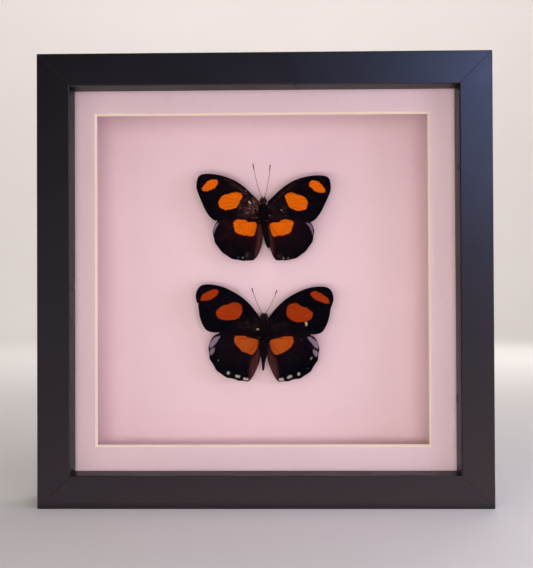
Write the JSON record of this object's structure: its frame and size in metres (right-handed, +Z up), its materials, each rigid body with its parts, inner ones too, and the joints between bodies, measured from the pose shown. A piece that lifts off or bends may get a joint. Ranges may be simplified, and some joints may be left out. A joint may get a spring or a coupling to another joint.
{
  "type": "framed butterfly specimens",
  "caption": "Square deep box frame in satin black, with a bevelled pink mat behind glass and set butterflies on a pink board.",
  "frame": {"origin": "on the ground, in the middle of the frame's footprint", "axes": "+X to the right as seen from the front, +Y towards the back, +Z up"},
  "size_m": [0.25, 0.045, 0.25],
  "materials": {
    "black_lacquer": "satin black lacquer over moulded fibreboard",
    "clear_glass": "clear float glass, 2 mm",
    "mat_paper": "matt pink face paper over a cream core",
    "liner_paper": "matt pink paper over board",
    "backing_paper": "matt pink paper over board",
    "hardboard": "bare brown hardboard",
    "steel": "bright stamped steel",
    "body_fur": "brown scales and hair over dry chitin",
    "chitin": "dry dark chitin",
    "wing_scales": "powdery scales over a dry membrane, black with orange",
    "foam": "white closed-cell foam"
  },
  "bodies": {
    "root": {"rail_top": "black_lacquer", "rail_bottom": "black_lacquer", "rail_left": "black_lacquer", "rail_right": "black_lacquer", "glass_pane": "clear_glass", "mat_board": "mat_paper", "spacer_top": "liner_paper", "spacer_bottom": "liner_paper", "spacer_left": "liner_paper", "spacer_right": "liner_paper", "backing_board": "backing_paper", "back_panel": "hardboard", "point_bottom_left": "steel", "point_bottom_right": "steel", "point_left_top": "steel", "point_left_bottom": "steel", "point_top_right": "steel", "point_top_left": "steel", "point_right_bottom": "steel", "point_right_top": "steel", "hanger_plate": "steel", "hanger_rivet_left": "steel", "hanger_rivet_right": "steel", "upper_body": "body_fur", "upper_block": "foam", "upper_antenna_left": "chitin", "upper_antenna_right": "chitin", "upper_forewing_left": "wing_scales", "upper_forewing_right": "wing_scales", "upper_hindwing_left": "wing_scales", "upper_hindwing_right": "wing_scales", "lower_body": "body_fur", "lower_block": "foam", "lower_antenna_left": "chitin", "lower_antenna_right": "chitin", "lower_forewing_left": "wing_scales", "lower_forewing_right": "wing_scales", "lower_hindwing_left": "wing_scales", "lower_hindwing_right": "wing_scales"}
  },
  "joints": []
}
